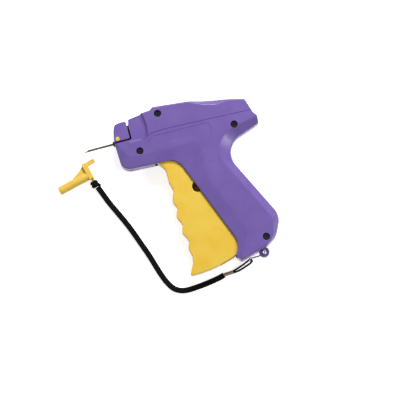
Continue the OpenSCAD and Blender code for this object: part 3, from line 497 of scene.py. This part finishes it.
def smooth_path(points, per=6):
    """Points of a smooth line through the given ones."""
    p = [Vector(q) for q in points]
    p = [2 * p[0] - p[1], *p, 2 * p[-1] - p[-2]]
    out = []
    for i in range(1, len(p) - 2):
        for k in range(per):
            t = k / per
            out.append(0.5 * (2 * p[i] + (p[i + 1] - p[i - 1]) * t
                              + (2 * p[i - 1] - 5 * p[i] + 4 * p[i + 1] - p[i + 2]) * t ** 2
                              + (3 * p[i] - p[i - 1] - 3 * p[i + 1] + p[i + 2]) * t ** 3))
    return out + [p[-2]]


def swept(name, path, section):
    """A section, rows of across and up, swept along path with its across kept level."""
    rings = []
    last = len(path) - 1
    side = None
    for i, p in enumerate(path):
        along = (path[min(last, i + 1)] - path[max(0, i - 1)]).normalized()
        level = Vector((0, 0, 1)).cross(along)
        if side is None:
            side = level if level.length > LEVEL_LEAST else Vector((0, 1, 0)).cross(along)
        if level.length > LEVEL_SURE:
            side = level if level.dot(side) > 0 else -level
        side = (side - along * side.dot(along)).normalized()
        up = along.cross(side)
        rings.append([p + (x * side + y * up) for x, y in section])
    return through_rings(name, rings)


def outward(ob):
    """Turns every face of a closed mesh outwards."""
    work = bmesh.new()
    work.from_mesh(ob.data)
    bmesh.ops.recalc_face_normals(work, faces=work.faces)
    work.to_mesh(ob.data)
    work.free()
    shade(ob)
    return ob


def in_cap(p):
    """Place of a point of the cap's own frame: x runs from its open end to its flange."""
    x, y, z = p
    c, s = math.cos(CAP_TURN), math.sin(CAP_TURN)
    return (CAP_AT.x + x * c - y * s, CAP_AT.y + x * s + y * c, CAP_AT.z + z)


def make_strap():
    w, h = STRAP_HALF, STRAP_HALF_UP
    section = [(w - 0.25, -0.45), (w, 0), (w - 0.25, 0.45), (w - 0.8, h - 0.12), (0.9, h),
               (-0.9, h), (-w + 0.8, h - 0.12), (-w + 0.25, 0.45), (-w, 0), (-w + 0.25, -0.45),
               (-w + 0.8, -h + 0.12), (-0.9, -h), (0.9, -h), (w - 0.8, -h + 0.12)]
    path = smooth_path(STRAP)
    return outward(swept("strap", path, section)), path


def make_loop():
    path = smooth_path(LOOP)
    return outward(swept("thin_cord", path, circle((0, 0), CORD_RADIUS, CORD_SIDES))), path


def make_hook():
    return outward(swept("wire_link", smooth_path(HOOK), circle((0, 0), WIRE_RADIUS, CORD_SIDES)))


def make_ferrule():
    """Sheet-metal tube, pinched twice on the cords."""
    a, b = (Vector(end) for end in FERRULE_ENDS)
    run = (b - a).normalized()
    side = Vector((0, 0, 1)).cross(run).normalized()
    up = run.cross(side)
    rings = [[a + (b - a) * t + r * (math.cos(q) * side + flat * math.sin(q) * up)
              for q in angles(FERRULE_SIDES)] for t, r, flat in FERRULE_RINGS]
    return outward(through_rings("ferrule", rings))


def together(name, *parts):
    """One mesh of several that may run into each other."""
    points, faces = [], []
    for part in parts:
        first = len(points)
        points += [tuple(v.co) for v in part.data.vertices]
        faces += [tuple(first + k for k in f.vertices) for f in part.data.polygons]
        bpy.data.objects.remove(part)
    return mesh_object(name, points, faces)


def knot_turn(name, y, lean, wide, high, across):
    """One turn of strap round the cap's post."""
    path = [Vector(in_cap((2.3 + wide * math.cos(a), y + lean * math.sin(a), high * math.sin(a) - 0.2)))
            for a in angles(KNOT_STEPS)]
    middle = sum(path, Vector()) / len(path)
    rings = []
    for i, p in enumerate(path):
        along = (path[(i + 1) % len(path)] - path[i - 1]).normalized()
        out = (p - middle - along * (p - middle).dot(along)).normalized()
        side = along.cross(out)
        rings.append([p + across * math.cos(q) * side + 0.95 * math.sin(q) * out for q in angles(KNOT_SIDES)])
    return outward(through_rings(name, rings, closed=True))


def make_knot():
    """The strap's end hitched twice round the cap's post, with the standing part pulled over both turns."""
    first = knot_turn("knot_a", -8.1, 0.5, 2.5, 1.9, 1.35)
    second = knot_turn("knot_b", -10.7, -0.7, 2.7, 2.0, 1.4)
    over = smooth_path([in_cap(q) for q in ((-0.6, -7.4, 1.6), (0.6, -8.4, 2.5), (2.2, -9.7, 3.0),
                                            (3.9, -11, 2.6), (5.0, -12, 1.3), (5.6, -12.8, -0.2))])
    bridge = outward(swept("knot_c", over, [(1.5 * math.cos(q), 0.75 * math.sin(q))
                                            for q in angles(KNOT_SIDES)]))
    core = outward(lathe("knot_d", [(0.4, 7.5), (1.9, 8), (2.4, 9.3), (2.3, 10.8), (1.4, 12), (0.3, 12.3)],
                         lambda a, b, h: in_cap((2.3 + a, -h, -0.2 - b * 0.8))))
    return together("knot", first, second, bridge, core)


def soft_block(name, low, high, soft):
    """A block in the cap's own frame with rounded upright edges and softened rims."""
    (a, b, c), (d, e, f) = low, high
    rows = [(a, b, soft), (d, b, soft), (d, e, soft), (a, e, soft)]
    rims = ((soft * 0.7, c), (soft * 0.2, c + soft * 0.2), (0, c + soft * 0.7), (0, f - soft * 0.7),
            (soft * 0.2, f - soft * 0.2), (soft * 0.7, f))
    return outward(through_rings(name, [[in_cap((x, y, z)) for x, y in rounded(moved_in(rows, w), [5] * 4)]
                                        for w, z in rims]))


def make_cap():
    """Moulded cap: barrel, flange with a thumb tab and a web, and the post that carries the strap."""
    place = lambda a, b, h: in_cap((h, a, b))
    barrel = outward(lathe("cap", [(1.3, -28), (2.95, -28), (3.3, -27.85), (3.6, -27.45), (3.85, -26.7),
                                   (3.85, 0.6)], place))
    flange = soft_block("flange", (0, -4.25, -4), (4.4, 11, 4), 0.6)
    tab = soft_block("tab", (3.7, 7.6, -3), (11.9, 11, 3), 0.5)
    web_outline = ((-14.5, 3.2), (0.5, 3.2), (0.5, 10), (-6, 6.4), (-11, 4.6))
    web = outward(through_rings("web", [[in_cap((x, y, z)) for x, y in web_outline] for z in (-1.2, 1.2)]))
    post = outward(lathe("post", [(1.2, 3.6), (1.4, 3.9), (1.4, 7.0), (1.15, 7.45)],
                         lambda a, b, h: in_cap((2.7 + a, -h, b))))
    combine(barrel, "UNION", flange, tab, web, post)
    bore = outward(lathe("bore", [(1.3, -29), (1.3, 4.1), (1.6, 4.4), (2.0, 5.1)], place))
    return combine(barrel, "DIFFERENCE", bore)



# ---------------------------------------------------------------- materials


def linear(colour):
    """sRGB hex to linear red, green, blue, alpha."""
    parts = [int(colour[i:i + 2], 16) / 255 for i in (1, 3, 5)]
    return (*[c / 12.92 if c <= 0.04045 else ((c + 0.055) / 1.055) ** 2.4 for c in parts], 1)


def add(tree, kind, links=(), **settings):
    """A node with its settings; names of sockets have values, links join sockets of other nodes."""
    made = tree.nodes.new(kind)
    for key, value in settings.items():
        if hasattr(made, key):
            setattr(made, key, value)
        else:
            made.inputs[key.replace("_", " ")].default_value = value
    for target, source in links:
        tree.links.new(source, made.inputs[target])
    return made


def surface(name, **settings):
    """A material with its shader and the part's own coordinates in millimetres."""
    material = bpy.data.materials.new(name)
    material.use_nodes = True
    tree = material.node_tree
    shader = tree.nodes["Principled BSDF"]
    for key, value in settings.items():
        shader.inputs[key.replace("_", " ")].default_value = value
    where = add(tree, "ShaderNodeTexCoord")
    scale = add(tree, "ShaderNodeMapping", [("Vector", where.outputs["Object"])], Scale=(1000, 1000, 1000))
    return material, tree, shader, scale.outputs["Vector"]


def blend_colours(tree, shader, amount, dark, pale, low=0.35, high=0.65):
    """Base colour between dark and pale where amount runs from low to high."""
    ramp = add(tree, "ShaderNodeValToRGB", [("Fac", amount)])
    for stop, place, colour in zip(ramp.color_ramp.elements, (low, high), (dark, pale)):
        stop.position, stop.color = place, linear(colour)
    tree.links.new(ramp.outputs["Color"], shader.inputs["Base Color"])


def spread_roughness(tree, shader, amount, low, high):
    """Roughness that runs from low to high with amount."""
    ramp = add(tree, "ShaderNodeMapRange", [("Value", amount)], From_Min=0.3, From_Max=0.7, To_Min=low,
               To_Max=high)
    tree.links.new(ramp.outputs["Result"], shader.inputs["Roughness"])


def relief(tree, shader, height, depth, before=None):
    """Bump of depth millimetres, on top of the one before; gives the normal that comes out."""
    links = [("Height", height)] + ([("Normal", before)] if before else [])
    bump = add(tree, "ShaderNodeBump", links, Strength=1.0, Distance=depth * MM)
    tree.links.new(bump.outputs["Normal"], shader.inputs["Normal"])
    return bump.outputs["Normal"]


def noise(tree, place, scale, detail, **settings):
    return add(tree, "ShaderNodeTexNoise", [("Vector", place)], Scale=scale, Detail=detail,
               **settings).outputs["Fac"]


def moulded(name, dark, pale, roughness, grain, depth, **settings):
    """Injection-moulded plastic: a fine grain from the mould, patches polished by handling, and slight sink."""
    material, tree, shader, place = surface(name, IOR=1.5, **settings)
    blend_colours(tree, shader, noise(tree, place, 0.05, 4.0, Roughness=0.6), dark, pale)
    spread_roughness(tree, shader, noise(tree, place, 0.16, 6.0, Roughness=0.65), roughness + 0.06,
                     roughness - 0.07)
    first = relief(tree, shader, noise(tree, place, 1 / grain, 2.0), depth)
    relief(tree, shader, noise(tree, place, 0.09, 1.0), 0.12, first)
    return material


def drawn_metal(name, dark, pale, roughness, along=(0.05, 1.6, 1.6)):
    """Drawn or rolled metal: fine lines run the way it was drawn."""
    material, tree, shader, place = surface(name, Metallic=1.0)
    stretch = add(tree, "ShaderNodeMapping", [("Vector", place)], Scale=along)
    lines = noise(tree, stretch.outputs["Vector"], 2.2, 5.0)
    blend_colours(tree, shader, lines, dark, pale, 0.3, 0.7)
    spread_roughness(tree, shader, lines, roughness - 0.08, roughness + 0.1)
    relief(tree, shader, lines, 0.02)
    return material


def woven(name, dark, pale, thread, depth):
    """Woven or braided yarn: two slanted sets of threads cross.

    The threads are drawn coarser than real ones, which would be too fine to show.
    """
    material, tree, shader, place = surface(name, Roughness=0.75, Specular_IOR_Level=0.12)
    turned = [add(tree, "ShaderNodeMapping", [("Vector", place)], Rotation=(0, 0, math.radians(a)))
              for a in (28, 118)]
    bands = [add(tree, "ShaderNodeTexWave", [("Vector", t.outputs["Vector"])], Scale=0.32 / thread,
                 Distortion=0.6, Detail=1.0) for t in turned]
    cross = add(tree, "ShaderNodeMath", [(0, bands[0].outputs["Fac"]), (1, bands[1].outputs["Fac"])],
                operation="MAXIMUM").outputs["Value"]
    blend_colours(tree, shader, cross, dark, pale, 0.2, 1.0)
    relief(tree, shader, cross, depth)
    return material


# ABS from a spark-eroded mould: satin, with soft streaks of light along its bevels
LILAC = moulded("lilac_ABS_moulded", "#6f58a5", "#765fac", 0.33, 0.5, 0.02)
# The same ABS from a mould of its own: a touch paler and duller
LILAC_NOSE = moulded("lilac_ABS_moulded_nose", "#7059a6", "#7660ad", 0.36, 0.5, 0.02)
# Yellow ABS: satin, and light enters it a little, so that its shaded sides stay warm
YELLOW = moulded("yellow_ABS_moulded", "#f2c63c", "#f7cf50", 0.34, 0.6, 0.015,
                 Subsurface_Weight=0.15, Subsurface_Radius=(1.0, 0.5, 0.1), Subsurface_Scale=0.005)
# Polypropylene: waxier and duller than the trigger, with a slight glow in thin walls
CAP_YELLOW = moulded("yellow_polypropylene_moulded", "#f1c547", "#f6d05c", 0.4, 0.6, 0.015,
                     Subsurface_Weight=0.15, Subsurface_Radius=(1.0, 0.6, 0.15), Subsurface_Scale=0.003)
# Acetal without pigment: off-white and smooth
NATURAL = moulded("natural_acetal_moulded", "#e4e0d4", "#ece9df", 0.4, 0.6, 0.01)
# Acetal with carbon black: smooth, with a faint sheen
BLACK_ACETAL = moulded("black_acetal_moulded", "#161517", "#211f22", 0.42, 0.6, 0.01)
# Moulded rubber: dull and near black
RUBBER = moulded("black_rubber_moulded", "#131313", "#1d1d1d", 0.72, 0.7, 0.03)
# Stainless tube, slotted and handled: brownish grey with lengthwise lines
NEEDLE_STEEL = drawn_metal("stainless_steel_drawn_needle", "#4f4741", "#8f8478", 0.34)
# Bright drawn wire: the smoothest metal here, with sharp narrow glints
BRIGHT_STEEL = drawn_metal("steel_wire_drawn", "#8b8884", "#b9b5b0", 0.22)
# Hardened spring wire: an even, slightly dull grey
SPRING_STEEL = drawn_metal("spring_steel_wire", "#85868a", "#a5a6aa", 0.32)
# Blanked sheet: rolling lines and a dull face
PLATE_STEEL = drawn_metal("steel_plate_blanked", "#85878b", "#a3a5a9", 0.42)
# Screws: near black, a painted shade for the bottoms of their deep recesses, with small glints on the drive's
# edges
SCREW_STEEL = drawn_metal("steel_screw_painted_shade", "#17151b", "#55515c", 0.28, (1.2, 1.2, 0.4))
# Blackened die casting: dark and dull, without a drawing direction
DARK_METAL = drawn_metal("blackened_die_cast_metal", "#232126", "#38353b", 0.5, (0.8, 0.8, 0.8))
# Nickel on rolled sheet, worn dull: warm grey
FERRULE = drawn_metal("nickel_plated_sheet_dull", "#6f6054", "#b3a698", 0.32, (0.9, 0.3, 0.9))
# Black polyester weave: its threads swallow light
STRAP_YARN = woven("polyester_strap_woven", "#020202", "#0d0a0b", 0.75, 0.16)
# Black polyester braid: finer threads than the strap's
CORD_YARN = woven("polyester_cord_braided", "#030202", "#0d0b0c", 0.55, 0.1)



def give(ob, material):
    ob.data.materials.clear()
    ob.data.materials.append(material)


def repaint(node, material):
    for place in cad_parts[node].material_slots:
        place.link = "OBJECT"
        place.material = material


# ---------------------------------------------------------------- pieces on their bodies

for maker, material, node, slot, body in (
        (make_left_casing, LILAC, "left_shell", "casing_plastic", "casing"),
        (make_right_casing, LILAC, "right_shell", "casing_plastic", "casing"),
        (make_nose_block, LILAC_NOSE, "nose_block", "nose_plastic", "casing"),
        (make_trigger, YELLOW, "trigger", "trigger_plastic", "trigger"),
        (make_cap, CAP_YELLOW, "needle_cap", "cap_plastic", "casing"),
        (make_ferrule, FERRULE, "crimp_ferrule", "ferrule_metal", "casing"),
        (make_hook, BRIGHT_STEEL, "wire_hook", "bright_steel", "casing"),
        (make_knot, STRAP_YARN, "cap_knot", "strap_fabric", "casing")):
    piece = maker()
    even_shading(piece)
    give(piece, material)
    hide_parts(node)
    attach(piece, body)

strap, strap_path = make_strap()
thin_cord, loop_path = make_loop()
for piece, node, slot, material in ((strap, "lanyard_strap", "strap_fabric", STRAP_YARN),
                                    (thin_cord, "cord_loop", "cord_fabric", CORD_YARN)):
    give(piece, material)
    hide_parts(node)
    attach(piece, "casing")

for nodes, material in (
        (("needle",), NEEDLE_STEEL), (("needle_base",), DARK_METAL), (("needle_lock",), CAP_YELLOW),
        (("casing_screws",), SCREW_STEEL), (("drive_lever", "feed_pawl"), PLATE_STEEL),
        (("trigger_pin", "drive_pin", "lever_pin", "roller_pin", "pusher_rod", "feed_axle", "pawl_pin"),
         BRIGHT_STEEL),
        (("return_spring", "detent_spring"), SPRING_STEEL), (("slider", "drive_rollers"), NATURAL),
        (("rod_guide", "feed_wheel"), BLACK_ACETAL), (("bumper",), RUBBER)):
    for node in nodes:
        repaint(node, material)

# ---------------------------------------------------------------- floor and light

SHEET_HALF = 1500
SHEET_GLOW = 0.75
LAMP_AIM_Z = 12
WHITE = (1, 1, 1, 1)


def make_floor():
    """Plain white sheet under the tool: white to the camera, and it keeps the tool's soft shadow."""
    s = SHEET_HALF
    floor = prism("floor", [(-s, -s), (s, -s), (s, s), (-s, s)], -2, -0.05)
    material = bpy.data.materials.new("white_sheet")
    material.use_nodes = True
    tree = material.node_tree
    shader = tree.nodes["Principled BSDF"]
    shader.inputs["Base Color"].default_value = linear("#f4f4f4")
    shader.inputs["Roughness"].default_value = 0.9
    glow = add(tree, "ShaderNodeEmission", Strength=SHEET_GLOW)
    ray = add(tree, "ShaderNodeLightPath")
    seen = add(tree, "ShaderNodeMath", [(0, ray.outputs["Is Camera Ray"]), (1, ray.outputs["Is Glossy Ray"])],
               operation="MAXIMUM")
    both = add(tree, "ShaderNodeAddShader", [(0, shader.outputs["BSDF"]), (1, glow.outputs["Emission"])])
    choice = add(tree, "ShaderNodeMixShader", [(0, seen.outputs["Value"]), (1, shader.outputs["BSDF"]),
                                               (2, both.outputs["Shader"])])
    tree.links.new(choice.outputs["Shader"], tree.nodes["Material Output"].inputs["Surface"])
    give(floor, material)


def soft_lamp(name, offset, size, power):
    """A round lamp that looks at the tool's middle from offset metres away."""
    data = bpy.data.lights.new(name, "AREA")
    data.shape, data.size, data.energy = "DISK", size, power
    lamp = bpy.data.objects.new(name, data)
    lamp.location = (Vector((*AIM, LAMP_AIM_Z)) + ORIGIN) * MM + offset
    lamp.rotation_mode = "QUATERNION"
    lamp.rotation_quaternion = (-offset).to_track_quat("-Z", "Y")
    bpy.context.scene.collection.objects.link(lamp)


def make_world():
    """Faint even light; metal and gloss see the white of the studio, which lights nothing else."""
    world = bpy.data.worlds.new("studio")
    world.use_nodes = True
    tree = world.node_tree
    light = tree.nodes["Background"]
    light.inputs["Color"].default_value = WHITE
    light.inputs["Strength"].default_value = 0.2
    bright = add(tree, "ShaderNodeBackground", Color=WHITE, Strength=0.6)
    rays = add(tree, "ShaderNodeLightPath")
    mixed = add(tree, "ShaderNodeMixShader", [("Fac", rays.outputs["Is Glossy Ray"]),
                                              (1, light.outputs["Background"]),
                                              (2, bright.outputs["Background"])])
    tree.links.new(mixed.outputs["Shader"], tree.nodes["World Output"].inputs["Surface"])
    bpy.context.scene.world = world


make_floor()
soft_lamp("key", UPWARD * 0.9 + ACROSS * 0.1 + Vector((0, 0, 0.85)), 0.5, 13.5)
soft_lamp("rim", ACROSS * 0.8 - UPWARD * 0.15 + Vector((0, 0, 0.75)), 0.28, 3.0)
soft_lamp("fill", -UPWARD * 0.5 - ACROSS * 0.6 + Vector((0, 0, 0.9)), 0.9, 0.5)
make_world()
bpy.context.scene.view_settings.view_transform = "Standard"
